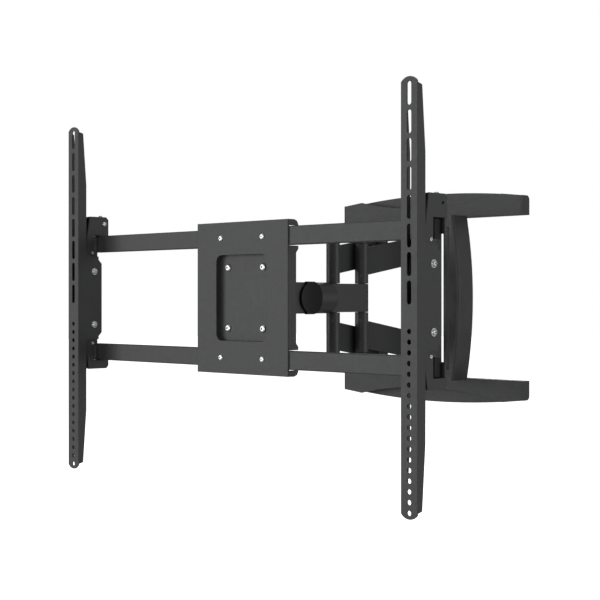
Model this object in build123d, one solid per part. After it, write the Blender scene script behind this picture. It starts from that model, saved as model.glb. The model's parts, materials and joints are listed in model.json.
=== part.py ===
"""Full motion TV wall mount.

Frame: +X to the right along the wall, +Y into the wall, +Z up. The origin is the centre of the
wall plate's rear face, so everything stands out from the wall towards -Y. All sizes in mm.
"""
import os
from math import atan2, cos, degrees, hypot, radians, sin, sqrt

from build123d import *

# ---- driving dimensions ------------------------------------------------------------------
TV_FACE = 548.0          # front face of the TV brackets, out from the wall
BRACKET_X = 400.0        # half the distance between the two TV brackets
BRACKET_HALF_H = 311.0
BRACKET_W = 30.0
BRACKET_SHEET = 2.0
FLANGE_DEEP = 18.0       # depth of the bracket's side flanges over the middle
FLANGE_SHALLOW = 11.0    # and at the two ends
FLANGE_TAPER_Z = 205.0   # height where the taper starts
SLOT_L, SLOT_W, SLOT_PITCH, SLOT_TOP, SLOT_COUNT = 33.5, 8.0, 40.0, 287.5, 8
HOLE_R, HOLE_PITCH, HOLE_TOP, HOLE_COUNT = 3.75, 15.0, -47.0, 18
EAR_REAR = 495.5         # rear edge of the bracket's tilt ears, out from the wall
EAR_STEP_REAR = 502.4    # rear edge where the ears step forward
EAR_HALF_H = 76.0
EAR_STEP_Z = 63.0
TILT_OUT = 512.0         # tilt axis, out from the wall
TILT_BOLT_Z = 48.5
TILT_BOLT_R = 3.0
TILT_UP, TILT_DOWN = 5.0, 10.0

ADAPTER_HALF_W = 12.6
ADAPTER_SHEET = 2.5
ADAPTER_TOP, ADAPTER_BOTTOM = 149.0, -130.0
ADAPTER_REAR = 478.5     # rear edge of the hooks over the rails
NOTCH_FRONT = 510.0      # front edge of the rail notches
SPACER_Z = 83.0
SPACER_OUT = 514.0
CLAMP_OUT, CLAMP_Z = 488.0, 136.0
CLAMP_R, CLAMP_HEAD_R, CLAMP_HEAD_T = 2.5, 4.5, 2.6
ADAPTER_LEAN = 0.1624     # how far the side plates' front edge leans back for each mm of height

RAIL_Z, RAIL_H, RAIL_D, RAIL_WALL = 99.0, 30.0, 16.0, 2.0
RAIL_HALF_L = 401.0
RAIL_FRONT = 498.0
CAP_FLANGE = 4.0

PLATE_HALF_W, PLATE_HALF_H, PLATE_SHEET = 110.0, 125.0, 2.5
PLATE_FRONT = RAIL_FRONT + PLATE_SHEET
PLATE_FLANGE_REAR = 477.5      # rear edge of the side flanges near the corners
PLATE_FLANGE_MID_REAR = 482.5  # and in the middle
PLATE_STEP_Z = 78.0
RECESS_HALF_W, RECESS_HALF_H, RECESS_R, RECESS_DEPTH = 61.0, 71.0, 12.0, 10.0
RECESS_SCREW_X, RECESS_SCREW_Z = 42.0, 50.0
RAIL_SCREW_X = 50.0

EAR_IN, EAR_OUT = 27.5, 31.0   # inner and outer faces of the head ears, from the centre
EAR_H = 26.4
COVER_FACE_R = 190.0           # curve of an ear cover's face
EAR_END_R = 27.6
EAR_END_OUT = 368.0            # centre of the ears' rounded ends, out from the wall
EAR_FOOT_OUTER, EAR_FOOT_H, EAR_FOOT_T = 58.0, 60.0, 4.0
COVER_T = 5.0
CROSS_FRONT, CROSS_REAR = 390.0, 382.0

NECK_TUBE_R, NECK_TUBE_FRONT, NECK_TUBE_REAR = 26.9, 361.0, 296.0
BLOCK_HALF_W, BLOCK_HALF_H = 12.0, 25.0

PIVOT_R = 12.0           # outside radius of every barrel
PIN_R = 7.0
RUNNING = 0.06           # radial clearance of a running pin
OPEN_RUNNING = 0.4       # radial clearance at the linkage's open pivot
HEAD_FRONT_OUT, HEAD_REAR_OUT = 282.0, 208.0   # the two head pivots, at X = 0
ELBOW_X, ELBOW_OUT = -21.6, 56.0
WALL_PIVOT_X, WALL_PIVOT_OUT = 80.0, 56.0
LINK_SPACING = HEAD_FRONT_OUT - HEAD_REAR_OUT
FOLD_OUT = ELBOW_OUT + LINK_SPACING
LINK_T = 6.0             # thickness of a link's bar
LINK_OFFSET = 2.9        # how far a bar's inner face lies from its pivots' line
LINK_BARREL_IN, LINK_BARREL_OUT = 25.6, 97.0
LINK_INNER, LINK_OUTER = 40.3, 89.5            # the bar's edges at the head end
LINK_RISE = 0.145        # how fast the bars spread towards the elbow
LINK_RUN = hypot(ELBOW_X, HEAD_REAR_OUT - ELBOW_OUT)
LINK_ANGLE = atan2(HEAD_REAR_OUT - ELBOW_OUT, ELBOW_X)
ELBOW_BARREL_IN = LINK_INNER + LINK_RISE * LINK_RUN
ELBOW_BARREL_OUT = LINK_OUTER + LINK_RISE * LINK_RUN
STACK_GAP = 0.8          # vertical gap between neighbours on a pin
ELBOW_CLEAR = ELBOW_BARREL_IN - LINK_RISE * PIVOT_R - STACK_GAP   # height that clears a sloping bar

BRIDGE_IN = ELBOW_BARREL_OUT + STACK_GAP
BRIDGE_OUT = BRIDGE_IN + 8.0
REAR_PLATE_IN = BRIDGE_OUT + STACK_GAP
REAR_PLATE_OUT = REAR_PLATE_IN + 6.0
PIN_HEAD_R, PIN_HEAD_T = 10.0, 2.6

COLUMN_IN, COLUMN_OUT, COLUMN_HALF_H = 93.4, 98.0, 146.9
COLUMN_REAR_OUT, COLUMN_FRONT_OUT = 35.5, 70.0
COVER_END_X, COVER_MID_X, COVER_HALF_H, COVER_WALL = 101.0, 115.0, 150.0, 3.0
COVER_OPEN_X, COVER_FRONT_OUT, COVER_REAR_OUT = 93.5, 76.0, 32.0

LUG_IN = REAR_PLATE_OUT + STACK_GAP
LUG_BASE_X = (50.0, 77.0)      # the lug's foot behind, narrow enough to pass the cover
LUG_BASE_OUT = (2.0, 45.0)
LUG_HEAD_OUT = (34.0, 68.5)
LUG_ROUND = 12.0
WALL_PIN_HALF = 147.0

WALL_DEPTH = 22.0
BAR_IN = 148.0           # inner edge of both wall bars
BAR_HALF_L = 213.0
BAR_SHEET = 3.0
BAR_MID_Z, BAR_END_Z = 196.4, 183.0
FASCIA_SHEET = 2.5
FASCIA_MID_Z, FASCIA_JOIN_X = 169.5, 170.0
END_CAP_T = 3.0
WALL_SLOT_X, WALL_SLOT_Z, WALL_SLOT_L, WALL_SLOT_R = (185.0, 100.0), 168.0, 34.0, 4.5
SPINE_HALF_W = 15.0
SPINE_HOLE_Z, SPINE_HOLE_R = 100.0, 4.5


# ---- helpers -----------------------------------------------------------------------------
def block(x0, x1, out0, out1, z0, z1):
    """A box between two X values, two distances out from the wall and two heights."""
    size = (abs(x1 - x0), abs(out1 - out0), abs(z1 - z0))
    return Pos((x0 + x1) / 2, -(out0 + out1) / 2, (z0 + z1) / 2) * Box(*size)


def post(x, out, radius, z0, z1):
    """A vertical round bar."""
    return Pos(x, -out, (z0 + z1) / 2) * Cylinder(radius, abs(z1 - z0))


def bar_x(out, z, radius, x0, x1):
    """A round bar along X."""
    return Pos((x0 + x1) / 2, -out, z) * Rot(0, 90, 0) * Cylinder(radius, abs(x1 - x0))


def bar_y(x, z, radius, out0, out1):
    """A round bar along Y."""
    return Pos(x, -(out0 + out1) / 2, z) * Rot(90, 0, 0) * Cylinder(radius, abs(out1 - out0))


def hex_y(x, z, radius, out0, out1):
    """A hexagon bar along Y."""
    sketch = Pos(x, -out0, z) * Rot(90, 0, 0) * RegularPolygon(radius, 6)
    return extrude(sketch, amount=out1 - out0)


def side_outline(points, x0, x1):
    """A plate across X from (out, z) corners."""
    face = make_face(Polyline(*[(x0, -out, z) for out, z in points], close=True))
    return extrude(face, amount=x1 - x0, dir=(1, 0, 0))


def slot_x(x, z, length, radius, out0, out1):
    """The solid of a slot that runs along X, through a wall-parallel plate."""
    run = length / 2 - radius
    ends = bar_y(x - run, z, radius, out0, out1) + bar_y(x + run, z, radius, out0, out1)
    return ends + block(x - run, x + run, out0, out1, z - radius, z + radius)


def slot_z(x, z, length, radius, out0, out1):
    """The same with the slot upright."""
    run = length / 2 - radius
    ends = bar_y(x, z - run, radius, out0, out1) + bar_y(x, z + run, radius, out0, out1)
    return ends + block(x - radius, x + radius, out0, out1, z - run, z + run)


def flip(shape):
    """The lower twin of an upper piece."""
    return mirror(shape, about=Plane.XY)


def save(name, shape):
    export_step(shape, f"parts/{name}.step")


def save_group(name, shapes):
    export_step(Compound(children=list(shapes)), f"parts/{name}.step")


# ---- TV brackets -------------------------------------------------------------------------
def bracket_front(x):
    """The bracket's face plate outline with its shallow round ends."""
    half, top = BRACKET_W / 2, BRACKET_HALF_H
    drop = 7.3
    right = Line((x + half, 0, drop - top), (x + half, 0, top - drop))
    upper = ThreePointArc((x + half, 0, top - drop), (x, 0, top), (x - half, 0, top - drop))
    left = Line((x - half, 0, top - drop), (x - half, 0, drop - top))
    lower = ThreePointArc((x - half, 0, drop - top), (x, 0, -top), (x + half, 0, drop - top))
    return make_face(Wire([right, upper, left, lower]))


def flange_profile():
    """Rear edge of a bracket flange: shallow ends, a deep middle and the tilt ear."""
    end_z = BRACKET_HALF_H - 9
    upper = [
        (TV_FACE, end_z),
        (TV_FACE - FLANGE_SHALLOW, end_z - 3),
        (TV_FACE - FLANGE_DEEP, FLANGE_TAPER_Z),
        (TV_FACE - FLANGE_DEEP, EAR_HALF_H + 4),
        (TV_FACE - FLANGE_DEEP - 6, EAR_HALF_H),
        (EAR_STEP_REAR, EAR_HALF_H),
        (EAR_STEP_REAR, EAR_STEP_Z + 7),
        (EAR_REAR, EAR_STEP_Z),
    ]
    return upper + [(out, -z) for out, z in reversed(upper)]


def tv_bracket(x):
    half = BRACKET_W / 2
    face = Pos(0, -TV_FACE, 0) * bracket_front(x)
    solid = extrude(face, amount=BRACKET_SHEET, dir=(0, 1, 0))
    for side in (-1, 1):
        inner = x + side * (half - BRACKET_SHEET)
        outer = x + side * half
        solid += side_outline(flange_profile(), min(inner, outer), max(inner, outer))
    solid = solid & extrude(face, amount=TV_FACE, dir=(0, 1, 0))
    for index in range(SLOT_COUNT):
        z = SLOT_TOP - SLOT_PITCH * index
        solid -= slot_z(x, z, SLOT_L, SLOT_W / 2, TV_FACE - 4, TV_FACE + 1)
    for index in range(HOLE_COUNT):
        z = HOLE_TOP - HOLE_PITCH * index
        solid -= bar_y(x, z, HOLE_R, TV_FACE - 4, TV_FACE + 1)
    for z in (-TILT_BOLT_Z, TILT_BOLT_Z):
        solid -= bar_x(TILT_OUT, z, TILT_BOLT_R, x - half - 1, x + half + 1)
    return solid


def tilt_bolts(x):
    """Two bolts with wide washers that clamp the ears and ride in the adapter's arcs."""
    half = BRACKET_W / 2
    for z in (-TILT_BOLT_Z, TILT_BOLT_Z):
        shank = bar_x(TILT_OUT, z, TILT_BOLT_R, x - half, x + half)
        washers = bar_x(TILT_OUT, z, 6.0, x - half - 1.2, x - half)
        washers += bar_x(TILT_OUT, z, 6.0, x + half, x + half + 1.2)
        heads = bar_x(TILT_OUT, z, 5.0, x - half - 5, x - half - 1.2)
        heads += bar_x(TILT_OUT, z, 5.0, x + half + 1.2, x + half + 4)
        yield shank + washers + heads


# ---- rail adapters -----------------------------------------------------------------------
def adapter_profile():
    """Side plate of an adapter: slanted front, two rail notches open to the rear."""
    front = TV_FACE - 6
    rail_gap = 0.6
    return [
        (front, 10),
        (front - ADAPTER_LEAN * (ADAPTER_TOP - 10), ADAPTER_TOP),
        (ADAPTER_REAR + 5, ADAPTER_TOP),
        (ADAPTER_REAR, ADAPTER_TOP - 5),
        (ADAPTER_REAR, RAIL_Z + RAIL_H / 2 + rail_gap),
        (NOTCH_FRONT, RAIL_Z + RAIL_H / 2 + rail_gap),
        (NOTCH_FRONT, RAIL_Z - RAIL_H / 2 - rail_gap),
        (EAR_STEP_REAR + 1, RAIL_Z - RAIL_H / 2 - rail_gap),
        (EAR_STEP_REAR + 1, 36),
        (EAR_REAR + 1, 30),
        (EAR_REAR + 1, -30),
        (EAR_STEP_REAR + 1, -36),
        (EAR_STEP_REAR + 1, -RAIL_Z + RAIL_H / 2 + rail_gap),
        (NOTCH_FRONT, -RAIL_Z + RAIL_H / 2 + rail_gap),
        (NOTCH_FRONT, -RAIL_Z - RAIL_H / 2 - rail_gap),
        (ADAPTER_REAR, -RAIL_Z - RAIL_H / 2 - rail_gap),
        (ADAPTER_REAR, ADAPTER_BOTTOM + 5),
        (ADAPTER_REAR + 5, ADAPTER_BOTTOM),
        (front - ADAPTER_LEAN * (-ADAPTER_BOTTOM - 10), ADAPTER_BOTTOM),
        (front, -10),
    ]


def arc_slot(x, z_sign):
    """Clearance for a tilt bolt through its whole travel about the tilt axis."""
    angles = [-TILT_DOWN - 1, -6.5, -3.5, 0, 3.0, TILT_UP + 1]
    reach = bar_x(TILT_OUT, z_sign * TILT_BOLT_Z, TILT_BOLT_R + 0.5, x - 20, x + 20)
    axis = Axis((0, -TILT_OUT, 0), (1, 0, 0))
    slot = reach.rotate(axis, -angles[0])
    for angle in angles[1:]:
        slot += reach.rotate(axis, -angle)
    return slot


def rail_adapter(x):
    inner = ADAPTER_HALF_W - ADAPTER_SHEET
    solid = None
    for side in (-1, 1):
        x0, x1 = sorted((x + side * inner, x + side * ADAPTER_HALF_W))
        plate = side_outline(adapter_profile(), x0, x1)
        solid = plate if solid is None else solid + plate
    across = (x - inner, x + inner)
    strap_front = RAIL_FRONT - RAIL_D - 0.6
    rail_top = RAIL_Z + RAIL_H / 2
    solid += block(*across, strap_front, ADAPTER_REAR, rail_top - 22, ADAPTER_TOP - 5)
    solid += block(*across, strap_front, ADAPTER_REAR, 22 - rail_top, ADAPTER_BOTTOM + 5)
    solid += block(*across, 517, ADAPTER_REAR + 5, ADAPTER_TOP - ADAPTER_SHEET, ADAPTER_TOP)
    solid += block(*across, 517, ADAPTER_REAR + 5, ADAPTER_BOTTOM, ADAPTER_BOTTOM + ADAPTER_SHEET)
    solid += block(*across, EAR_REAR + 1, EAR_REAR + 3.5, -30, 30)
    for sign in (-1, 1):
        solid -= arc_slot(x, sign)
        solid -= bar_x(SPACER_OUT, sign * SPACER_Z, 2.8, x - 20, x + 20)
    solid -= bar_x(CLAMP_OUT, CLAMP_Z, CLAMP_R, x - 20, x + 20)
    solid -= post(x, CLAMP_OUT - 1, CLAMP_R, ADAPTER_TOP - 4, ADAPTER_TOP + 1)
    return solid


def adapter_spacers(x):
    """Flush screws that hold the adapter's two side plates apart."""
    for sign in (-1, 1):
        yield bar_x(SPACER_OUT, sign * SPACER_Z, 2.8, x - ADAPTER_HALF_W, x + ADAPTER_HALF_W)


def clamp_screw(x, inward):
    """Cross screw above the upper rail, its head on the side that faces the centre."""
    face = x + inward * ADAPTER_HALF_W
    tip = x - inward * (ADAPTER_HALF_W - ADAPTER_SHEET - 1)
    shank = bar_x(CLAMP_OUT, CLAMP_Z, CLAMP_R, *sorted((face, tip)))
    return shank + bar_x(CLAMP_OUT, CLAMP_Z, CLAMP_HEAD_R, *sorted((face, face + inward * CLAMP_HEAD_T)))


def safety_screw(x):
    """Upright screw through the adapter's top that stops it lifting off the rail."""
    shank = post(x, CLAMP_OUT - 1, CLAMP_R, CLAMP_Z + CLAMP_R + 0.9, ADAPTER_TOP)
    return shank + post(x, CLAMP_OUT - 1, CLAMP_HEAD_R - 0.3, ADAPTER_TOP, ADAPTER_TOP + 3)


# ---- rails and centre plate --------------------------------------------------------------
def rail(sign):
    z0, z1 = RAIL_Z - RAIL_H / 2, RAIL_Z + RAIL_H / 2
    rear = RAIL_FRONT - RAIL_D
    outer = block(-RAIL_HALF_L, RAIL_HALF_L, RAIL_FRONT, rear, z0, z1)
    outer = fillet(outer.edges().filter_by(Axis.X), 1.8)
    inner = block(-RAIL_HALF_L, RAIL_HALF_L, RAIL_FRONT - RAIL_WALL, rear + RAIL_WALL,
                  z0 + RAIL_WALL, z1 - RAIL_WALL)
    tube = outer - inner
    for x in (-RAIL_SCREW_X, RAIL_SCREW_X):
        tube -= bar_y(x, RAIL_Z, 3.0, rear - 1, RAIL_FRONT + 1)
    return tube if sign > 0 else flip(tube)


def rail_caps():
    """Plastic plugs in the four rail ends."""
    for side in (-1, 1):
        for sign in (-1, 1):
            z0, z1 = RAIL_Z - RAIL_H / 2, RAIL_Z + RAIL_H / 2
            rear = RAIL_FRONT - RAIL_D
            end = side * RAIL_HALF_L
            flange = block(end, end + side * CAP_FLANGE, RAIL_FRONT, rear, z0, z1)
            plug = block(end - side * 14, end, RAIL_FRONT - RAIL_WALL, rear + RAIL_WALL,
                         z0 + RAIL_WALL, z1 - RAIL_WALL)
            cap = flange + plug
            yield cap if sign > 0 else flip(cap)


def centre_plate():
    half_w, half_h = PLATE_HALF_W, PLATE_HALF_H
    solid = block(-half_w, half_w, PLATE_FRONT, RAIL_FRONT, -half_h, half_h)
    upper = [
        (PLATE_FRONT, half_h),
        (PLATE_FLANGE_REAR + 9, half_h),
        (PLATE_FLANGE_REAR + 3, half_h - 2.5),
        (PLATE_FLANGE_REAR, half_h - 8),
        (PLATE_FLANGE_REAR, PLATE_STEP_Z),
        (PLATE_FLANGE_MID_REAR, PLATE_STEP_Z - 6),
    ]
    profile = upper + [(out, -z) for out, z in reversed(upper)]
    for side in (-1, 1):
        x0, x1 = sorted((side * (half_w - PLATE_SHEET), side * half_w))
        solid += side_outline(profile, x0, x1)
    solid = fillet(solid.edges().filter_by(Axis.Z).group_by(Axis.Y)[0], 2.0)
    pan_rear = PLATE_FRONT - RECESS_DEPTH - PLATE_SHEET
    outer = block(-RECESS_HALF_W - PLATE_SHEET, RECESS_HALF_W + PLATE_SHEET, PLATE_FRONT - 1, pan_rear,
                  -RECESS_HALF_H - PLATE_SHEET, RECESS_HALF_H + PLATE_SHEET)
    outer = fillet(outer.edges().filter_by(Axis.Y), RECESS_R + PLATE_SHEET)
    inner = block(-RECESS_HALF_W, RECESS_HALF_W, PLATE_FRONT + 1, PLATE_FRONT - RECESS_DEPTH,
                  -RECESS_HALF_H, RECESS_HALF_H)
    inner = fillet(inner.edges().filter_by(Axis.Y), RECESS_R)
    solid = solid + outer - inner
    for x in (-RECESS_SCREW_X, RECESS_SCREW_X):
        for z in (-RECESS_SCREW_Z, RECESS_SCREW_Z):
            solid -= bar_y(x, z, 4.0, pan_rear - 1, PLATE_FRONT)
    for side in (-1, 1):
        for sign in (-1, 1):
            z0, z1 = sign * (RAIL_Z - RAIL_H / 2 - 1), sign * (RAIL_Z + RAIL_H / 2 + 1)
            solid -= block(side * (half_w - 6), side * (half_w + 6), RAIL_FRONT, PLATE_FLANGE_REAR - 2,
                           z0, z1)
            solid -= bar_y(side * RAIL_SCREW_X, sign * RAIL_Z, 3.0, RAIL_FRONT - 1, PLATE_FRONT + 1)
    return solid


def plate_screws():
    """Four screws that hold the plate to the rails."""
    for x in (-RAIL_SCREW_X, RAIL_SCREW_X):
        for z in (-RAIL_Z, RAIL_Z):
            shank = bar_y(x, z, 3.0, PLATE_FRONT, RAIL_FRONT - RAIL_D)
            yield shank + bar_y(x, z, 5.2, PLATE_FRONT, PLATE_FRONT + 2.2)


def recess_screws():
    """Four screws that hold the plate to the head ears."""
    floor = PLATE_FRONT - RECESS_DEPTH
    for x in (-RECESS_SCREW_X, RECESS_SCREW_X):
        for z in (-RECESS_SCREW_Z, RECESS_SCREW_Z):
            shank = bar_y(x, z, 4.0, floor, floor - PLATE_SHEET - EAR_FOOT_T)
            yield shank + bar_y(x, z, 6.6, floor, floor + 3.2)


def recess_nuts():
    """Hexagon nuts behind the ears' feet."""
    foot_rear = PLATE_FRONT - RECESS_DEPTH - PLATE_SHEET - EAR_FOOT_T
    for x in (-RECESS_SCREW_X, RECESS_SCREW_X):
        for z in (-RECESS_SCREW_Z, RECESS_SCREW_Z):
            yield hex_y(x, z, 7.5, foot_rear - 6, foot_rear)


# ---- head ears, covers and neck ----------------------------------------------------------
def head_ear(side):
    foot_front = PLATE_FRONT - RECESS_DEPTH - PLATE_SHEET
    foot_rear = foot_front - EAR_FOOT_T
    taper = foot_rear - 46
    upper = [(foot_front, EAR_FOOT_H), (foot_rear, EAR_FOOT_H), (taper, EAR_H), (EAR_END_OUT + 14, EAR_H),
             (EAR_END_OUT + 11, EAR_END_R), (EAR_END_OUT, EAR_END_R)]
    profile = upper + [(out, -z) for out, z in reversed(upper)]
    x0, x1 = sorted((side * EAR_IN, side * EAR_OUT))
    ear = side_outline(profile, x0, x1) + bar_x(EAR_END_OUT, 0, EAR_END_R, x0, x1)
    foot = block(side * EAR_IN, side * EAR_FOOT_OUTER, foot_front, foot_rear, -EAR_FOOT_H, EAR_FOOT_H)
    for z in (-RECESS_SCREW_Z, RECESS_SCREW_Z):
        foot -= bar_y(side * RECESS_SCREW_X, z, 4.0, foot_front + 1, foot_rear - 1)
    return ear + foot


def ear_cover(side):
    """A plastic cap over an ear's round end, its face curving inwards to the rear."""
    x0, x1 = sorted((side * EAR_OUT, side * (EAR_OUT + COVER_T)))
    outline = bar_x(EAR_END_OUT, 0, EAR_END_R, x0, x1)
    outline += block(x0, x1, EAR_END_OUT, EAR_END_OUT + 15, -EAR_END_R, EAR_END_R)
    radius = COVER_FACE_R
    curve = post(side * (EAR_OUT + COVER_T - radius), EAR_END_OUT + 15, radius, -40, 40)
    return outline & curve


def cross_plate():
    """The web between the ears that turns on the roll bolt."""
    plate = block(-EAR_IN, EAR_IN, CROSS_FRONT, CROSS_REAR, -24, 24)
    return plate - bar_y(0, 0, 6 + RUNNING, CROSS_FRONT + 1, CROSS_REAR - 1)


def roll_bolt():
    shank = bar_y(0, 0, 6.0, CROSS_FRONT + 1.2, NECK_TUBE_FRONT - 8)
    return shank + hex_y(0, 0, 10.5, CROSS_FRONT + 1.2, CROSS_FRONT + 9)


def roll_bush():
    bush = bar_y(0, 0, 14.0, CROSS_REAR - 0.3, NECK_TUBE_FRONT)
    return bush - bar_y(0, 0, 6.0, CROSS_REAR + 1, NECK_TUBE_FRONT - 1)


def neck_tube():
    tube = bar_y(0, 0, NECK_TUBE_R, NECK_TUBE_FRONT, NECK_TUBE_REAR)
    tube = chamfer(tube.edges().filter_by(GeomType.CIRCLE), 0.8)
    tube -= bar_y(0, 0, NECK_TUBE_R - 5, NECK_TUBE_FRONT - 8, NECK_TUBE_REAR + 6)
    return tube - bar_y(0, 0, 6.0, NECK_TUBE_FRONT + 1, NECK_TUBE_FRONT - 9)


def neck_block():
    z0, z1 = -BLOCK_HALF_H, BLOCK_HALF_H
    solid = block(-BLOCK_HALF_W, BLOCK_HALF_W, NECK_TUBE_REAR, HEAD_REAR_OUT, z0, z1)
    solid += post(0, HEAD_REAR_OUT, BLOCK_HALF_W, z0, z1)
    for out in (HEAD_FRONT_OUT, HEAD_REAR_OUT):
        solid -= post(0, out, PIN_R, z0 - 1, z1 + 1)
    return solid


def neck_pin(out):
    pin = post(0, out, PIN_R, -LINK_BARREL_OUT, LINK_BARREL_OUT)
    for sign in (-1, 1):
        end = sign * LINK_BARREL_OUT
        pin += post(0, out, 10.0, end + sign * 0.6, end + sign * 3.2)
        pin += post(0, out, PIN_R, end, end + sign * 0.6)
    return pin


# ---- parallel links ----------------------------------------------------------------------
def link_edge(at_head, run):
    """Height of a bar's sloping edge at a distance from the head pivot."""
    return at_head + LINK_RISE * run


def link(head_out, head_bore, side):
    """Upper link: a sloping bar on one side of its pivots, with a barrel at each end."""
    along = (cos(LINK_ANGLE), sin(LINK_ANGLE), 0)
    across = (sin(LINK_ANGLE), -cos(LINK_ANGLE), 0)
    inner_face = LINK_OFFSET if side > 0 else -LINK_OFFSET - LINK_T
    origin = Vector(0, -head_out, 0) + Vector(*across) * inner_face
    plane = Plane(origin=origin, x_dir=along, z_dir=across)
    corners = [(0, LINK_INNER), (LINK_RUN, ELBOW_BARREL_IN), (LINK_RUN, ELBOW_BARREL_OUT), (0, LINK_OUTER)]
    bar = extrude(plane * make_face(Polyline(*corners, close=True)), amount=LINK_T)
    far_out = head_out - (HEAD_REAR_OUT - ELBOW_OUT)
    solid = bar + post(0, head_out, PIVOT_R, LINK_BARREL_IN, LINK_BARREL_OUT)
    solid += post(ELBOW_X, far_out, PIVOT_R, ELBOW_BARREL_IN, ELBOW_BARREL_OUT)
    solid -= post(0, head_out, head_bore, 0, 2 * LINK_OUTER)
    solid -= post(ELBOW_X, far_out, PIN_R + RUNNING, 0, 2 * ELBOW_BARREL_OUT)
    return solid - set_screw(head_out)


def set_screw(head_out):
    """Small grub screw in the head barrel, facing the room."""
    turn = Pos(0, -head_out, 40) * Rot(0, 0, -50) * Rot(0, 90, 0)
    return turn * Pos(0, 0, 10.1) * Cylinder(2.5, 3.6)


# ---- elbow bridge ------------------------------------------------------------------------
def round_bar(x0, out0, x1, out1, radius, z0, z1):
    """A flat bar with round ends about two upright pivots that share an X or an out value."""
    solid = post(x0, out0, radius, z0, z1) + post(x1, out1, radius, z0, z1)
    if x0 == x1:
        return solid + block(x0 - radius, x0 + radius, out0, out1, z0, z1)
    return solid + block(x0, x1, out0 - radius, out0 + radius, z0, z1)


def elbow_bridge():
    """Upper bridge between the elbow pivot and the fold pivot."""
    solid = round_bar(ELBOW_X, ELBOW_OUT, ELBOW_X, FOLD_OUT, PIVOT_R, BRIDGE_IN, BRIDGE_OUT)
    for out in (ELBOW_OUT, FOLD_OUT):
        solid -= post(ELBOW_X, out, PIN_R, BRIDGE_IN - 1, BRIDGE_OUT + 1)
    return solid


def spacer_tube(x, out, bore, half):
    """Tube round a long pin, the same above and below the middle."""
    return post(x, out, PIVOT_R, -half, half) - post(x, out, bore, -half - 1, half + 1)


def elbow_pin():
    """The long pin that carries the rear arm, the bridges and the far links."""
    end = REAR_PLATE_OUT + STACK_GAP
    pin = post(ELBOW_X, ELBOW_OUT, PIN_R, -end, end)
    for sign in (-1, 1):
        pin += post(ELBOW_X, ELBOW_OUT, PIN_HEAD_R, sign * end, sign * (end + PIN_HEAD_T))
    return pin


def fold_pin():
    """Upper headed pin that carries the near link in the bridge."""
    pin = post(ELBOW_X, FOLD_OUT, PIN_R, ELBOW_CLEAR, BRIDGE_OUT)
    return pin + post(ELBOW_X, FOLD_OUT, PIN_HEAD_R, ELBOW_CLEAR - PIN_HEAD_T, ELBOW_CLEAR)


# ---- rear arm ----------------------------------------------------------------------------
def rear_arm_plate():
    """Upper flat arm from the wall pivot to the elbow."""
    solid = round_bar(ELBOW_X, ELBOW_OUT, WALL_PIVOT_X, WALL_PIVOT_OUT, PIVOT_R, REAR_PLATE_IN, REAR_PLATE_OUT)
    for x in (WALL_PIVOT_X, ELBOW_X):
        solid -= post(x, ELBOW_OUT, PIN_R + RUNNING, REAR_PLATE_IN - 1, REAR_PLATE_OUT + 1)
    return solid


# ---- wall column and its cover -----------------------------------------------------------
def wall_column():
    """Steel upright between the two lugs, inside the cover."""
    half = COLUMN_HALF_H
    return block(COLUMN_IN, COLUMN_OUT, COLUMN_REAR_OUT, COLUMN_FRONT_OUT, -half, half)


def bowed_slab(inset):
    """The cover's outer shape, or its hollow when inset."""
    end_x, mid_x = COVER_END_X - inset, COVER_MID_X - inset
    half, open_x = COVER_HALF_H, COVER_OPEN_X - (1 if inset else 0)
    front = -COVER_FRONT_OUT + inset
    bow = ThreePointArc((end_x, front, half), (mid_x, front, 0), (end_x, front, -half))
    back = Polyline((end_x, front, -half), (open_x, front, -half), (open_x, front, half), (end_x, front, half))
    depth = COVER_FRONT_OUT - COVER_REAR_OUT - 2 * inset
    slab = extrude(make_face(Wire([bow, *back.edges()])), amount=depth, dir=(0, 1, 0))
    if inset:
        slab &= block(open_x - 1, mid_x + 1, 0, 100, inset - half, half - inset)
    return slab


def column_cover():
    """Bowed plastic cover over the wall column, open towards the pin."""
    outer = bowed_slab(0)
    long_edges = outer.edges().filter_by(GeomType.CIRCLE)
    outer = fillet(long_edges.sort_by(Axis.Y)[0], 5.0)
    outer = fillet(outer.edges().filter_by(GeomType.CIRCLE).sort_by(Axis.Y)[-1], 2.0)
    return outer - bowed_slab(COVER_WALL)


# ---- wall plate --------------------------------------------------------------------------
def arc_edge(mid_z, end_z, half_l, out):
    return ThreePointArc((half_l, -out, end_z), (0, -out, mid_z), (-half_l, -out, end_z))


def wall_bar():
    """Upper structural bar: a back plate with an arched edge and a lip along its inner edge."""
    arch = arc_edge(BAR_MID_Z, BAR_END_Z, BAR_HALF_L, 0)
    rest = Polyline((-BAR_HALF_L, 0, BAR_END_Z), (-BAR_HALF_L, 0, BAR_IN), (BAR_HALF_L, 0, BAR_IN),
                    (BAR_HALF_L, 0, BAR_END_Z))
    solid = extrude(make_face(Wire([arch, *rest.edges()])), amount=BAR_SHEET, dir=(0, -1, 0))
    lip_front = WALL_DEPTH - FASCIA_SHEET
    solid += block(-BAR_HALF_L, BAR_HALF_L, 0, lip_front, BAR_IN, BAR_IN + BAR_SHEET)
    for x in WALL_SLOT_X:
        for side in (-1, 1):
            solid -= slot_x(side * x, WALL_SLOT_Z, WALL_SLOT_L, WALL_SLOT_R, -1, BAR_SHEET + 1)
    return solid


def join_z():
    """Height where the fascia's dip meets the arched edge."""
    rise = BAR_MID_Z - BAR_END_Z
    radius = (BAR_HALF_L ** 2 + rise ** 2) / (2 * rise)
    return BAR_MID_Z - radius + sqrt(radius ** 2 - FASCIA_JOIN_X ** 2)


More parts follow.
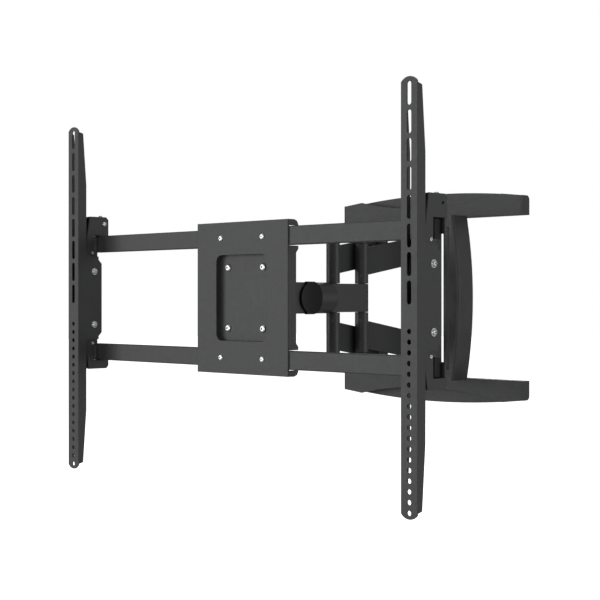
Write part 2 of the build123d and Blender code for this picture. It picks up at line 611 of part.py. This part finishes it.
def fascia():
    """Upper front panel, its outer edge dipping over the middle."""
    out = WALL_DEPTH
    top = join_z()
    dip = ThreePointArc((FASCIA_JOIN_X, -out, top), (0, -out, FASCIA_MID_Z), (-FASCIA_JOIN_X, -out, top))
    rest = Polyline((-FASCIA_JOIN_X, -out, top), (-BAR_HALF_L, -out, BAR_END_Z), (-BAR_HALF_L, -out, BAR_IN),
                    (BAR_HALF_L, -out, BAR_IN), (BAR_HALF_L, -out, BAR_END_Z), (FASCIA_JOIN_X, -out, top))
    return extrude(make_face(Wire([dip, *rest.edges()])), amount=FASCIA_SHEET, dir=(0, 1, 0))


def end_cap(side):
    """Plastic cap that closes an upper bar's end, round at its outer rear corner."""
    x0, x1 = sorted((side * BAR_HALF_L, side * (BAR_HALF_L + END_CAP_T)))
    cap = block(x0, x1, 0, WALL_DEPTH, BAR_IN, BAR_END_Z)
    corner = cap.edges().filter_by(Axis.X).group_by(Axis.Z)[-1].sort_by(Axis.Y)[-1]
    cap = fillet(corner, 8.0)
    plug = block(side * (BAR_HALF_L - 8), side * BAR_HALF_L, BAR_SHEET, WALL_DEPTH - FASCIA_SHEET,
                 BAR_IN + BAR_SHEET, BAR_END_Z - 10)
    return cap + plug


def wall_spine():
    """Upright channel between the two bars."""
    solid = block(-SPINE_HALF_W, SPINE_HALF_W, 0, BAR_SHEET, -BAR_IN, BAR_IN)
    for side in (-1, 1):
        solid += block(side * (SPINE_HALF_W - BAR_SHEET), side * SPINE_HALF_W, 0, 16, -BAR_IN, BAR_IN)
    for z in (-SPINE_HOLE_Z, 0, SPINE_HOLE_Z):
        solid -= bar_y(0, z, SPINE_HOLE_R, -1, BAR_SHEET + 1)
    return solid


def wall_lug():
    """Upper lug under the wall bar, from its lip out to the wall pin and the column."""
    solid = block(*LUG_BASE_X, *LUG_BASE_OUT, LUG_IN, BAR_IN)
    solid += block(LUG_BASE_X[0], COLUMN_IN, *LUG_HEAD_OUT, LUG_IN, COLUMN_HALF_H)
    corner = solid.edges().filter_by(Axis.Z).group_by(Axis.Y)[0].sort_by(Axis.X)[0]
    solid = fillet(corner, LUG_ROUND)
    return solid - post(WALL_PIVOT_X, WALL_PIVOT_OUT, PIN_R, LUG_IN - 1, BAR_IN + 1)


def wall_pin():
    """The long pin that the rear arm turns on."""
    return post(WALL_PIVOT_X, WALL_PIVOT_OUT, PIN_R, -WALL_PIN_HALF, WALL_PIN_HALF)


# ---- write every piece -------------------------------------------------------------------
os.makedirs("parts", exist_ok=True)

for name, x, inward in (("left", -BRACKET_X, 1), ("right", BRACKET_X, -1)):
    save(f"tv_bracket_{name}", tv_bracket(x))
    save_group(f"tilt_bolts_{name}", tilt_bolts(x))
    save(f"rail_adapter_{name}", rail_adapter(x))
    save_group(f"adapter_spacers_{name}", adapter_spacers(x))
    save(f"clamp_screw_{name}", clamp_screw(x, inward))
    save(f"safety_screw_{name}", safety_screw(x))

save("rail_upper", rail(1))
save("rail_lower", rail(-1))
save_group("rail_end_caps", rail_caps())
save("centre_plate", centre_plate())
save_group("plate_screws", plate_screws())
save_group("recess_screws", recess_screws())
save_group("recess_nuts", recess_nuts())

for name, side in (("left", -1), ("right", 1)):
    save(f"head_ear_{name}", head_ear(side))
    save(f"ear_cover_{name}", ear_cover(side))
save("cross_plate", cross_plate())
save("roll_bolt", roll_bolt())
save("roll_bush", roll_bush())
save("neck_tube", neck_tube())
save("neck_block", neck_block())
save("neck_pin_front", neck_pin(HEAD_FRONT_OUT))
save("neck_pin_rear", neck_pin(HEAD_REAR_OUT))

for name, out, bore, side in (("near", HEAD_FRONT_OUT, PIN_R + RUNNING, -1),
                              ("far", HEAD_REAR_OUT, PIN_R + OPEN_RUNNING, 1)):
    upper_link = link(out, bore, side)
    save(f"{name}_link_upper", upper_link)
    save(f"{name}_link_lower", flip(upper_link))
    save_group(f"{name}_set_screws", [set_screw(out), flip(set_screw(out))])

save("elbow_bridge_upper", elbow_bridge())
save("elbow_bridge_lower", flip(elbow_bridge()))
save("elbow_tube", spacer_tube(ELBOW_X, ELBOW_OUT, PIN_R, ELBOW_CLEAR))
save("elbow_pin", elbow_pin())
save_group("fold_pins", [fold_pin(), flip(fold_pin())])

save("rear_arm_upper", rear_arm_plate())
save("rear_arm_lower", flip(rear_arm_plate()))
save("rear_arm_tube", spacer_tube(WALL_PIVOT_X, WALL_PIVOT_OUT, PIN_R + RUNNING, REAR_PLATE_IN))

save("wall_column", wall_column())
save("column_cover", column_cover())
save("wall_bar_upper", wall_bar())
save("wall_bar_lower", flip(wall_bar()))
save("wall_fascia_upper", fascia())
save("wall_fascia_lower", flip(fascia()))
for name, side in (("left", -1), ("right", 1)):
    save(f"wall_cap_upper_{name}", end_cap(side))
    save(f"wall_cap_lower_{name}", flip(end_cap(side)))
save("wall_spine", wall_spine())
save("wall_lug_upper", wall_lug())
save("wall_lug_lower", flip(wall_lug()))
save("wall_pin", wall_pin())
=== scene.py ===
import json
import math

import bmesh
import bpy
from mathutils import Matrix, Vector


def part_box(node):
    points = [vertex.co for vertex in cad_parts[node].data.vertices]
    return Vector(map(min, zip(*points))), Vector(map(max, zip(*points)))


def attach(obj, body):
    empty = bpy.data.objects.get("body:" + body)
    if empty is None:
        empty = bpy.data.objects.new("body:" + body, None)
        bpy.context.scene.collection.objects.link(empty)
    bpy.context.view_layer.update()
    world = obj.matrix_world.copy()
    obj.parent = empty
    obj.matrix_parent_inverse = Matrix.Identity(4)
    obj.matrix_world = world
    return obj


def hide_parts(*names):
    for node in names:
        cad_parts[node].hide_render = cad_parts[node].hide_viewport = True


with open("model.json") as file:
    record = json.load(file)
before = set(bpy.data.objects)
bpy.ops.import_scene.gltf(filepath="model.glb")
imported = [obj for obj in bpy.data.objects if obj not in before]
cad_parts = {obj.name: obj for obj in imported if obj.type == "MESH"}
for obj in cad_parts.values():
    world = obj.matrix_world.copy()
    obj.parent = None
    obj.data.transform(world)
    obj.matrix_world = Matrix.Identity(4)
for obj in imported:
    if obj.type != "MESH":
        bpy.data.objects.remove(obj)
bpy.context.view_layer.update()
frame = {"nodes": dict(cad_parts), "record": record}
NODES = frame["nodes"]
RECORD = frame["record"]
SLOT_OF = {part["node"]: part["material_slot"] for part in RECORD["subparts"]}
BODY_OF = {node: body for body, nodes in RECORD["behaviour"]["bodies"].items() for node in nodes}

# ---- camera and light ----------------------------------------------------------------------
CAMERA_PLACE = Vector((1.623, -1.987, 0.0))
CAMERA_YAW = 45.0
LENS_MM = 80.6
HORIZON_SHIFT = -0.0035
FLOOR_Z, FLOOR_SIZE = -0.62, 30
FLOOR_COLOUR, FLOOR_ROUGHNESS = (0.9, 0.9, 0.9), 0.9
FILL_LIGHT = 0.27          # strength of the even light from all round


def add_camera():
    data = bpy.data.cameras.new("camera")
    data.lens = LENS_MM
    data.sensor_width = 36.0
    data.shift_y = HORIZON_SHIFT
    data.clip_end = 100.0
    camera = bpy.data.objects.new("camera", data)
    bpy.context.scene.collection.objects.link(camera)
    camera.location = CAMERA_PLACE
    camera.rotation_euler = (math.radians(90), 0, math.radians(CAMERA_YAW))
    bpy.context.scene.camera = camera


def area_light(name, place, target, size, power):
    data = bpy.data.lights.new(name, "AREA")
    data.shape = "RECTANGLE"
    data.size, data.size_y = size
    data.energy = power
    light = bpy.data.objects.new(name, data)
    bpy.context.scene.collection.objects.link(light)
    light.location = place
    aim = Vector(target) - Vector(place)
    light.rotation_euler = aim.to_track_quat("-Z", "Y").to_euler()


def add_world():
    """White behind the object, and a dim even light on it."""
    world = bpy.data.worlds.new("studio")
    world.use_nodes = True
    tree = world.node_tree
    seen = tree.nodes["Background"]
    seen.inputs["Color"].default_value = (1, 1, 1, 1)
    fill = tree.nodes.new("ShaderNodeBackground")
    fill.inputs["Color"].default_value = (1, 1, 1, 1)
    fill.inputs["Strength"].default_value = FILL_LIGHT
    path = tree.nodes.new("ShaderNodeLightPath")
    mix = tree.nodes.new("ShaderNodeMixShader")
    tree.links.new(path.outputs["Is Camera Ray"], mix.inputs["Fac"])
    tree.links.new(fill.outputs["Background"], mix.inputs[1])
    tree.links.new(seen.outputs["Background"], mix.inputs[2])
    tree.links.new(mix.outputs["Shader"], tree.nodes["World Output"].inputs["Surface"])
    bpy.context.scene.world = world


def add_floor():
    """A flat white floor that only the camera sees, so it neither lights nor mirrors in the object."""
    material = bpy.data.materials.new("studio_floor")
    material.use_nodes = True
    tree = material.node_tree
    shader = tree.nodes["Principled BSDF"]
    shader.inputs["Base Color"].default_value = (*FLOOR_COLOUR, 1)
    shader.inputs["Roughness"].default_value = FLOOR_ROUGHNESS
    shader.inputs["Emission Color"].default_value = (1, 1, 1, 1)
    shader.inputs["Emission Strength"].default_value = 1.0
    bpy.ops.mesh.primitive_plane_add(size=FLOOR_SIZE, location=(0, 0, FLOOR_Z))
    floor = bpy.context.object
    floor.name = "floor"
    floor.data.materials.append(material)
    floor.visible_diffuse = False
    floor.visible_glossy = False


# ---- materials -----------------------------------------------------------------------------
class Maker:
    """Short-hand for building a node material."""

    def __init__(self, name, base, roughness, metallic=0.0, specular=0.5):
        self.material = bpy.data.materials.new(name)
        self.material.use_nodes = True
        self.tree = self.material.node_tree
        self.shader = self.tree.nodes["Principled BSDF"]
        self.shader.inputs["Base Color"].default_value = (*base, 1)
        self.shader.inputs["Roughness"].default_value = roughness
        self.shader.inputs["Metallic"].default_value = metallic
        self.shader.inputs["Specular IOR Level"].default_value = specular
        self.place = self.tree.nodes.new("ShaderNodeTexCoord").outputs["Object"]

    def noise(self, scale, detail=2.0, rough=0.5, stretch=None):
        source = self.place
        if stretch:
            mapping = self.tree.nodes.new("ShaderNodeMapping")
            mapping.inputs["Scale"].default_value = stretch
            self.tree.links.new(source, mapping.inputs["Vector"])
            source = mapping.outputs["Vector"]
        node = self.tree.nodes.new("ShaderNodeTexNoise")
        node.inputs["Scale"].default_value = scale
        node.inputs["Detail"].default_value = detail
        node.inputs["Roughness"].default_value = rough
        self.tree.links.new(source, node.inputs["Vector"])
        return node.outputs["Fac"]

    def ramp(self, source, stops):
        node = self.tree.nodes.new("ShaderNodeValToRGB")
        while len(node.color_ramp.elements) < len(stops):
            node.color_ramp.elements.new(0.5)
        for element, (place, colour) in zip(node.color_ramp.elements, stops):
            element.position = place
            element.color = (*colour, 1)
        self.tree.links.new(source, node.inputs["Fac"])
        return node.outputs["Color"]

    def span(self, source, low, high, from_low=0.3, from_high=0.7):
        node = self.tree.nodes.new("ShaderNodeMapRange")
        node.inputs["From Min"].default_value = from_low
        node.inputs["From Max"].default_value = from_high
        node.inputs["To Min"].default_value = low
        node.inputs["To Max"].default_value = high
        self.tree.links.new(source, node.inputs["Value"])
        return node.outputs["Result"]

    def mix(self, factor, first, second):
        node = self.tree.nodes.new("ShaderNodeMix")
        node.data_type = "RGBA"
        self.tree.links.new(factor, node.inputs["Factor"])
        for socket, value in ((node.inputs[6], first), (node.inputs[7], second)):
            if isinstance(value, tuple):
                socket.default_value = (*value, 1)
            else:
                self.tree.links.new(value, socket)
        return node.outputs[2]

    def painted_edge_highlight(self, radius=0.0008):
        """Mask of a painted highlight: bright where the surface turns sharply."""
        bevel = self.tree.nodes.new("ShaderNodeBevel")
        bevel.inputs["Radius"].default_value = radius
        geometry = self.tree.nodes.new("ShaderNodeNewGeometry")
        dot = self.tree.nodes.new("ShaderNodeVectorMath")
        dot.operation = "DOT_PRODUCT"
        self.tree.links.new(bevel.outputs["Normal"], dot.inputs[0])
        self.tree.links.new(geometry.outputs["Normal"], dot.inputs[1])
        return self.span(dot.outputs["Value"], 1.0, 0.0, 0.8, 0.98)

    def bump(self, heights, strength=0.3, distance=0.0002, round_edge=0.0):
        node = self.tree.nodes.new("ShaderNodeBump")
        node.inputs["Strength"].default_value = strength
        node.inputs["Distance"].default_value = distance
        self.tree.links.new(heights, node.inputs["Height"])
        if round_edge:
            bevel = self.tree.nodes.new("ShaderNodeBevel")
            bevel.inputs["Radius"].default_value = round_edge
            self.tree.links.new(bevel.outputs["Normal"], node.inputs["Normal"])
        self.tree.links.new(node.outputs["Normal"], self.shader.inputs["Normal"])

    def put(self, socket, source):
        self.tree.links.new(source, self.shader.inputs[socket])


def powder_coat(name, base, roughness=0.5, grain=900.0, strength=0.25):
    """Charcoal powder coat: fine orange peel, faint mottling, a painted highlight on the edges.

    The shading at a cut edge is rounded too, because most of the meshes stay nearly sharp there."""
    m = Maker(name, base, roughness)
    light = tuple(min(1.0, c * 1.16) for c in base)
    dark = tuple(c * 0.86 for c in base)
    speck = m.ramp(m.noise(grain * 1.6, 2.0), [(0.35, dark), (0.65, light)])
    # painted highlight: the edge colour is the base colour lightened 1.9 times
    edge_highlight_colour = tuple(c * 1.9 for c in base)
    # painted highlight mixed into the base colour along edges, standing in for the light that rounded edges
    # catch
    m.put("Base Color", m.mix(m.painted_edge_highlight(0.0007), speck, edge_highlight_colour))
    m.put("Roughness", m.span(m.noise(160.0, 3.0), roughness - 0.025, roughness + 0.025))
    m.bump(m.noise(grain, 3.0, 0.6), strength, 0.00012, round_edge=0.0008)
    return m.material


def moulded_plastic(name, base, roughness=0.55, specular=0.5):
    """Fine-grained matt black plastic."""
    m = Maker(name, base, roughness, specular=specular)
    m.put("Base Color", m.ramp(m.noise(35.0, 3.0), [(0.3, tuple(c * 0.85 for c in base)),
                                                    (0.7, tuple(c * 1.15 for c in base))]))
    m.put("Roughness", m.span(m.noise(220.0, 2.0), roughness - 0.05, roughness + 0.07))
    m.bump(m.noise(1500.0, 2.0), 0.2, 0.0001, round_edge=0.0005)
    return m.material


def zinc_plate(name, base, roughness=0.28):
    """Bright zinc: faint clouding and turned marks."""
    m = Maker(name, base, roughness, metallic=1.0)
    cloud = m.ramp(m.noise(300.0, 4.0), [(0.3, tuple(c * 0.82 for c in base)), (0.7, base)])
    m.put("Base Color", cloud)
    m.put("Roughness", m.span(m.noise(700.0, 2.0), roughness - 0.08, roughness + 0.1))
    m.bump(m.noise(1200.0, 2.0, stretch=(1, 6, 1)), 0.12, 0.00008, round_edge=0.0004)
    return m.material


STEEL = powder_coat("charcoal_powder_coat", (0.045, 0.046, 0.048))
CASTING = powder_coat("charcoal_casting", (0.045, 0.046, 0.048), 0.42, 700.0, 0.2)
PLASTIC = moulded_plastic("black_plastic", (0.006, 0.006, 0.0065), 0.4, 0.25)
CAP_PLASTIC = moulded_plastic("charcoal_cap", (0.05, 0.051, 0.053), 0.5)
COVER = moulded_plastic("charcoal_plastic", (0.045, 0.046, 0.048), 0.45)
ZINC = zinc_plate("bright_zinc", (0.80, 0.81, 0.83))
OXIDE = zinc_plate("black_oxide", (0.10, 0.10, 0.105), 0.4)

BY_SLOT = {"powder_steel": STEEL, "powder_casting": CASTING, "black_plastic": PLASTIC, "zinc": ZINC,
           "dark_pin": OXIDE}


def finish_of(node_name):
    """The material of a node: its slot's, except that the big plastic covers are charcoal."""
    if node_name == "column_cover":
        return COVER
    return CAP_PLASTIC if node_name.startswith("wall_cap") else BY_SLOT[SLOT_OF[node_name]]


def dress_nodes():
    for name in SLOT_OF:
        node = NODES[name]
        node.data.materials.clear()
        node.data.materials.append(finish_of(name))


# ---- pieces --------------------------------------------------------------------------------
SMOOTH_ANGLE = math.radians(38)
EDGE_ANGLE = math.radians(28)
EDGE_ROUND = 0.0006        # the most that a cut steel edge is rounded
PLAIN = {"roll_bolt", "near_set_screws", "far_set_screws"}    # pieces that keep the CAD node's own mesh
CAP_ROUND, BLOCK_ROUND = 0.001, 0.0012     # the same for plastic caps, and for covers and castings
SOFTER = {"column_cover": BLOCK_ROUND, "rail_end_caps": BLOCK_ROUND, "neck_block": BLOCK_ROUND,
          "neck_tube": BLOCK_ROUND, "ear_cover_left": CAP_ROUND, "ear_cover_right": CAP_ROUND,
          "wall_cap_upper_left": CAP_ROUND, "wall_cap_upper_right": CAP_ROUND,
          "wall_cap_lower_left": CAP_ROUND, "wall_cap_lower_right": CAP_ROUND}
WELD = 1e-6                # corners closer than this are one corner
FLAT_ANGLE = math.radians(0.3)


def add_piece(name, bm, body, material, replaced):
    """Makes an object of a bmesh, smooth over its small angles, and rides it on a body."""
    mesh = bpy.data.meshes.new(name)
    bm.to_mesh(mesh)
    bm.free()
    normals = mesh.attributes.get("custom_normal")
    if normals:
        mesh.attributes.remove(normals)
    mesh.shade_smooth()
    mesh.set_sharp_from_angle(angle=SMOOTH_ANGLE)
    mesh.materials.clear()
    mesh.materials.append(material)
    piece = bpy.data.objects.new(name, mesh)
    bpy.context.scene.collection.objects.link(piece)
    weighted = piece.modifiers.new("flat_faces", "WEIGHTED_NORMAL")
    weighted.keep_sharp = True
    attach(piece, body)
    if replaced:
        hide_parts(*replaced)
    return piece


def rounded_copy(node_name):
    """The node's own shape with its cut edges rounded, as far as its shortest edges let them be.

    The round is held back over the whole mesh, so on the slotted and curved pieces it is far below
    EDGE_ROUND and hardly there."""
    bm = bmesh.new()
    bm.from_mesh(NODES[node_name].data)
    bm.transform(NODES[node_name].matrix_world)
    bmesh.ops.remove_doubles(bm, verts=bm.verts, dist=WELD)
    bmesh.ops.dissolve_limit(bm, angle_limit=FLAT_ANGLE, verts=bm.verts, edges=bm.edges)
    sharp = [edge for edge in bm.edges if edge.is_manifold and edge.calc_face_angle(0) > EDGE_ANGLE]
    bmesh.ops.bevel(bm, geom=sharp, offset=SOFTER.get(node_name, EDGE_ROUND), segments=2, profile=0.5,
                    affect="EDGES", clamp_overlap=True)
    return add_piece(f"{node_name}_skin", bm, BODY_OF[node_name], finish_of(node_name),
                     [node_name])


def ring_radius(shape, radius, angle):
    """Distance from the axis of a round, hexagonal or cross-shaped ring at an angle."""
    if shape == "hex":
        return radius * math.cos(HALF_SIXTH) / math.cos(angle % (2 * HALF_SIXTH) - HALF_SIXTH)
    if shape == "cross":
        lean = abs((angle + HALF_QUARTER) % (2 * HALF_QUARTER) - HALF_QUARTER)
        return min(radius / math.cos(lean), CROSS_ARM * radius / max(math.sin(lean), WELD))
    return radius


CROSS_ARM = 0.3            # half-width of a cross recess's arm, over its length
RING_SIDES = 72
HALF_SIXTH, HALF_QUARTER = math.radians(30), math.radians(45)


def turned(bm, origin, axis, rings):
    """Adds a closed turned form: rings of (shape, radius, height) along an axis, in metres."""
    turn = Vector(axis).to_track_quat("Z", "Y").to_matrix()
    loops = []
    for shape, radius, height in rings:
        loop = []
        for step in range(RING_SIDES):
            angle = math.tau * step / RING_SIDES
            reach = ring_radius(shape, radius, angle)
            local = Vector((reach * math.cos(angle), reach * math.sin(angle), height))
            loop.append(bm.verts.new(Vector(origin) + turn @ local))
        loops.append(loop)
    for low, high in zip(loops, loops[1:]):
        for step in range(RING_SIDES):
            after = (step + 1) % RING_SIDES
            bm.faces.new((low[step], low[after], high[after], high[step]))
    bm.faces.new(tuple(reversed(loops[0])))
    bm.faces.new(tuple(loops[-1]))


# Outline of a domed head, over its radius and its height.
DOME = [(0.95, 0), (1.0, 0.12), (0.97, 0.42), (0.86, 0.72), (0.68, 0.92), (0.52, 1.0)]
RECESS_DEEPEST, RECESS_SHARE = 0.0022, 0.75    # a recess's depth, and the most of the head that it takes
SHANK_GAP = 0.0001         # a step too small to see, where one outline meets the next


def screw_rings(head_r, head_h, shank_r, shank_l, recess, recess_r):
    """A domed head with a recess, on a shank that ends in a chamfer."""
    floor = head_h - min(RECESS_DEEPEST, head_h * RECESS_SHARE)
    rings = [("round", shank_r * 0.6, -shank_l)]
    rings.append(("round", shank_r, -shank_l + shank_r * 0.4))
    rings.append(("round", shank_r, -SHANK_GAP))
    rings += [("round", head_r * across, head_h * along) for across, along in DOME]
    return rings + [(recess, recess_r, head_h), (recess, recess_r * 0.9, floor)]


def boxes_of(node_name):
    """The low and high corner of each of a node's separate solids."""
    bm = bmesh.new()
    bm.from_mesh(NODES[node_name].data)
    bmesh.ops.remove_doubles(bm, verts=bm.verts, dist=WELD)
    left = set(bm.verts)
    boxes = []
    while left:
        queue = [left.pop()]
        island = []
        while queue:
            vert = queue.pop()
            island.append(vert.co.copy())
            for edge in vert.link_edges:
                other = edge.other_vert(vert)
                if other in left:
                    left.remove(other)
                    queue.append(other)
        low = Vector([min(co[i] for co in island) for i in range(3)])
        high = Vector([max(co[i] for co in island) for i in range(3)])
        boxes.append((low, high))
    bm.free()
    return boxes


PLATE_SCREW = {"head_r": 0.0052, "head_h": 0.0022, "shank_r": 0.003, "recess": "hex", "recess_r": 0.0019}
RECESS_SCREW = {"head_r": 0.0066, "head_h": 0.0032, "shank_r": 0.004, "recess": "hex", "recess_r": 0.0025}
CLAMP_SCREW = {"head_r": 0.0045, "head_h": 0.0026, "shank_r": 0.0025, "recess": "cross", "recess_r": 0.0023}
SAFETY_SCREW = {"head_r": 0.0042, "head_h": 0.003, "shank_r": 0.0025, "recess": "cross", "recess_r": 0.0022}


def add_screws(node_name, axis, head_r, head_h, shank_r, recess, recess_r):
    """Detailed screws in place of a node's plain ones: heads at the far end of each along the axis."""
    bm = bmesh.new()
    index = [abs(part) for part in axis].index(1)
    for low, high in boxes_of(node_name):
        middle = (low + high) / 2
        length = high[index] - low[index]
        seat = middle.copy()
        seat[index] += axis[index] * (length / 2 - head_h)
        rings = screw_rings(head_r, head_h, shank_r, length - head_h, recess, recess_r)
        turned(bm, seat, axis, rings)
    add_piece(f"{node_name}_detailed", bm, BODY_OF[node_name], ZINC, [node_name])


WASHER_R, WASHER_T, WASHER_EDGE = 0.006, 0.0011, 0.0002
BOLT_HEAD_R, BOLT_SHANK_R, BOLT_SOCKET_R = 0.0048, 0.003, 0.0021
BOLT_HEAD_SHANK = 0.006    # how far the head's own shank reaches in


def washer_rings():
    return [("round", WASHER_R * 0.95, 0), ("round", WASHER_R, WASHER_EDGE),
            ("round", WASHER_R, WASHER_T - WASHER_EDGE), ("round", WASHER_R * 0.95, WASHER_T)]


LOCK_GROOVE_R, LOCK_END_R, LOCK_GROOVE_DEPTH = 0.0031, 0.0027, 0.0012
LOCK_CHAMFERS = (0.0004, 0.0006)               # at the seat, and at the outer face


def lock_nut_rings(height):
    """A hexagon nut with the bolt's end showing in a groove."""
    top = height - SHANK_GAP
    groove = height - LOCK_GROOVE_DEPTH
    return [("hex", BOLT_HEAD_R * 0.93, 0), ("hex", BOLT_HEAD_R, LOCK_CHAMFERS[0]),
            ("hex", BOLT_HEAD_R, height - LOCK_CHAMFERS[1]), ("round", BOLT_HEAD_R * 0.82, top),
            ("round", LOCK_GROOVE_R, top), ("round", LOCK_GROOVE_R, groove),
            ("round", LOCK_END_R, groove), ("round", LOCK_END_R, height - WASHER_EDGE)]


def add_tilt_bolts(side):
    """Bolts with a wide washer, a domed head and, on the far side, a washer and a hexagon nut."""
    name = f"tilt_bolts_{side}"
    bracket_low, bracket_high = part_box(f"tv_bracket_{side}")
    bm = bmesh.new()
    for low, high in boxes_of(name):
        middle = (low + high) / 2
        for face_x, axis, outer in ((bracket_high[0], (1, 0, 0), high[0]),
                                    (bracket_low[0], (-1, 0, 0), low[0])):
            seat = Vector((face_x, middle.y, middle.z))
            height = abs(outer - face_x) - WASHER_T
            turned(bm, seat, axis, washer_rings())
            seat = seat + Vector(axis) * WASHER_T
            if axis[0] > 0:
                turned(bm, seat, axis, screw_rings(BOLT_HEAD_R, height, BOLT_SHANK_R, BOLT_HEAD_SHANK,
                                                   "hex", BOLT_SOCKET_R))
            else:
                turned(bm, seat, axis, lock_nut_rings(height))
        start = Vector((bracket_low[0], middle.y, middle.z))
        length = bracket_high[0] - bracket_low[0]
        turned(bm, start, (1, 0, 0), [("round", BOLT_SHANK_R, 0.0), ("round", BOLT_SHANK_R, length)])
    add_piece(f"{name}_detailed", bm, BODY_OF[name], ZINC, [name])


NUT_CHAMFER = 0.0008
SCREW_END_R, SCREW_END_GROOVE_R, SCREW_END_DEPTH = 0.0037, 0.0043, 0.0015


def add_nuts():
    """Chamfered hexagon nuts with the screws' ends showing in them."""
    bm = bmesh.new()
    for low, high in boxes_of("recess_nuts"):
        seat = Vector(((low.x + high.x) / 2, low.y, (low.z + high.z) / 2))
        height = high.y - low.y
        radius = (high.x - low.x) / 2
        groove = height - SCREW_END_DEPTH
        rings = [("round", radius * 0.84, 0), ("hex", radius, NUT_CHAMFER)]
        rings += [("hex", radius, height - NUT_CHAMFER), ("round", radius * 0.84, height)]
        rings += [("round", SCREW_END_GROOVE_R, height), ("round", SCREW_END_GROOVE_R, groove)]
        rings += [("round", SCREW_END_R, groove), ("round", SCREW_END_R, height - WASHER_EDGE)]
        turned(bm, seat, (0, 1, 0), rings)
    add_piece("recess_nuts_detailed", bm, "head", ZINC, ["recess_nuts"])


FLUSH_RECESS, FLUSH_EDGE = 0.0012, 0.0003


def add_flush_screws(side):
    """Countersunk screw ends, level with the adapter's two faces."""
    name = f"adapter_spacers_{side}"
    bm = bmesh.new()
    for low, high in boxes_of(name):
        middle = (low + high) / 2
        radius, length = (high.y - low.y) / 2, high.x - low.x
        rings = [("cross", radius * 0.5, FLUSH_RECESS), ("cross", radius * 0.62, 0)]
        rings += [("round", radius * 0.94, 0), ("round", radius, FLUSH_EDGE)]
        rings += [("round", radius, length - FLUSH_EDGE), ("round", radius * 0.94, length)]
        rings += [("cross", radius * 0.62, length), ("cross", radius * 0.5, length - FLUSH_RECESS)]
        turned(bm, (low.x, middle.y, middle.z), (1, 0, 0), rings)
    add_piece(f"{name}_detailed", bm, BODY_OF[name], ZINC, [name])


# ---- build ---------------------------------------------------------------------------------
add_camera()
add_world()
add_floor()
area_light("key", place=(-3.0, -4.6, 0.25), target=(0.1, -0.3, 0), size=(3.4, 3.4), power=105)
area_light("side", place=(3.4, 1.2, 0.0), target=(0.2, -0.1, 0), size=(2.0, 3.0), power=27)
area_light("top", place=(0.2, -0.6, 3.0), target=(0, -0.3, 0), size=(2.0, 2.0), power=9)
area_light("front", place=(1.0, -4.0, -0.3), target=(0.4, 0, 0), size=(1.4, 1.4), power=26)
area_light("back", place=(-1.6, 3.6, 1.4), target=(0, -0.2, 0), size=(2.6, 2.6), power=40)
dress_nodes()
add_screws("plate_screws", (0, -1, 0), **PLATE_SCREW)
add_screws("recess_screws", (0, -1, 0), **RECESS_SCREW)
add_screws("clamp_screw_left", (1, 0, 0), **CLAMP_SCREW)
add_screws("clamp_screw_right", (-1, 0, 0), **CLAMP_SCREW)
for side in ("left", "right"):
    add_screws(f"safety_screw_{side}", (0, 0, 1), **SAFETY_SCREW)
    add_tilt_bolts(side)
    add_flush_screws(side)
add_nuts()
for name in SLOT_OF:
    if SLOT_OF[name] != "zinc" and name not in PLAIN:
        rounded_copy(name)

bpy.context.scene.view_settings.view_transform = "Standard"
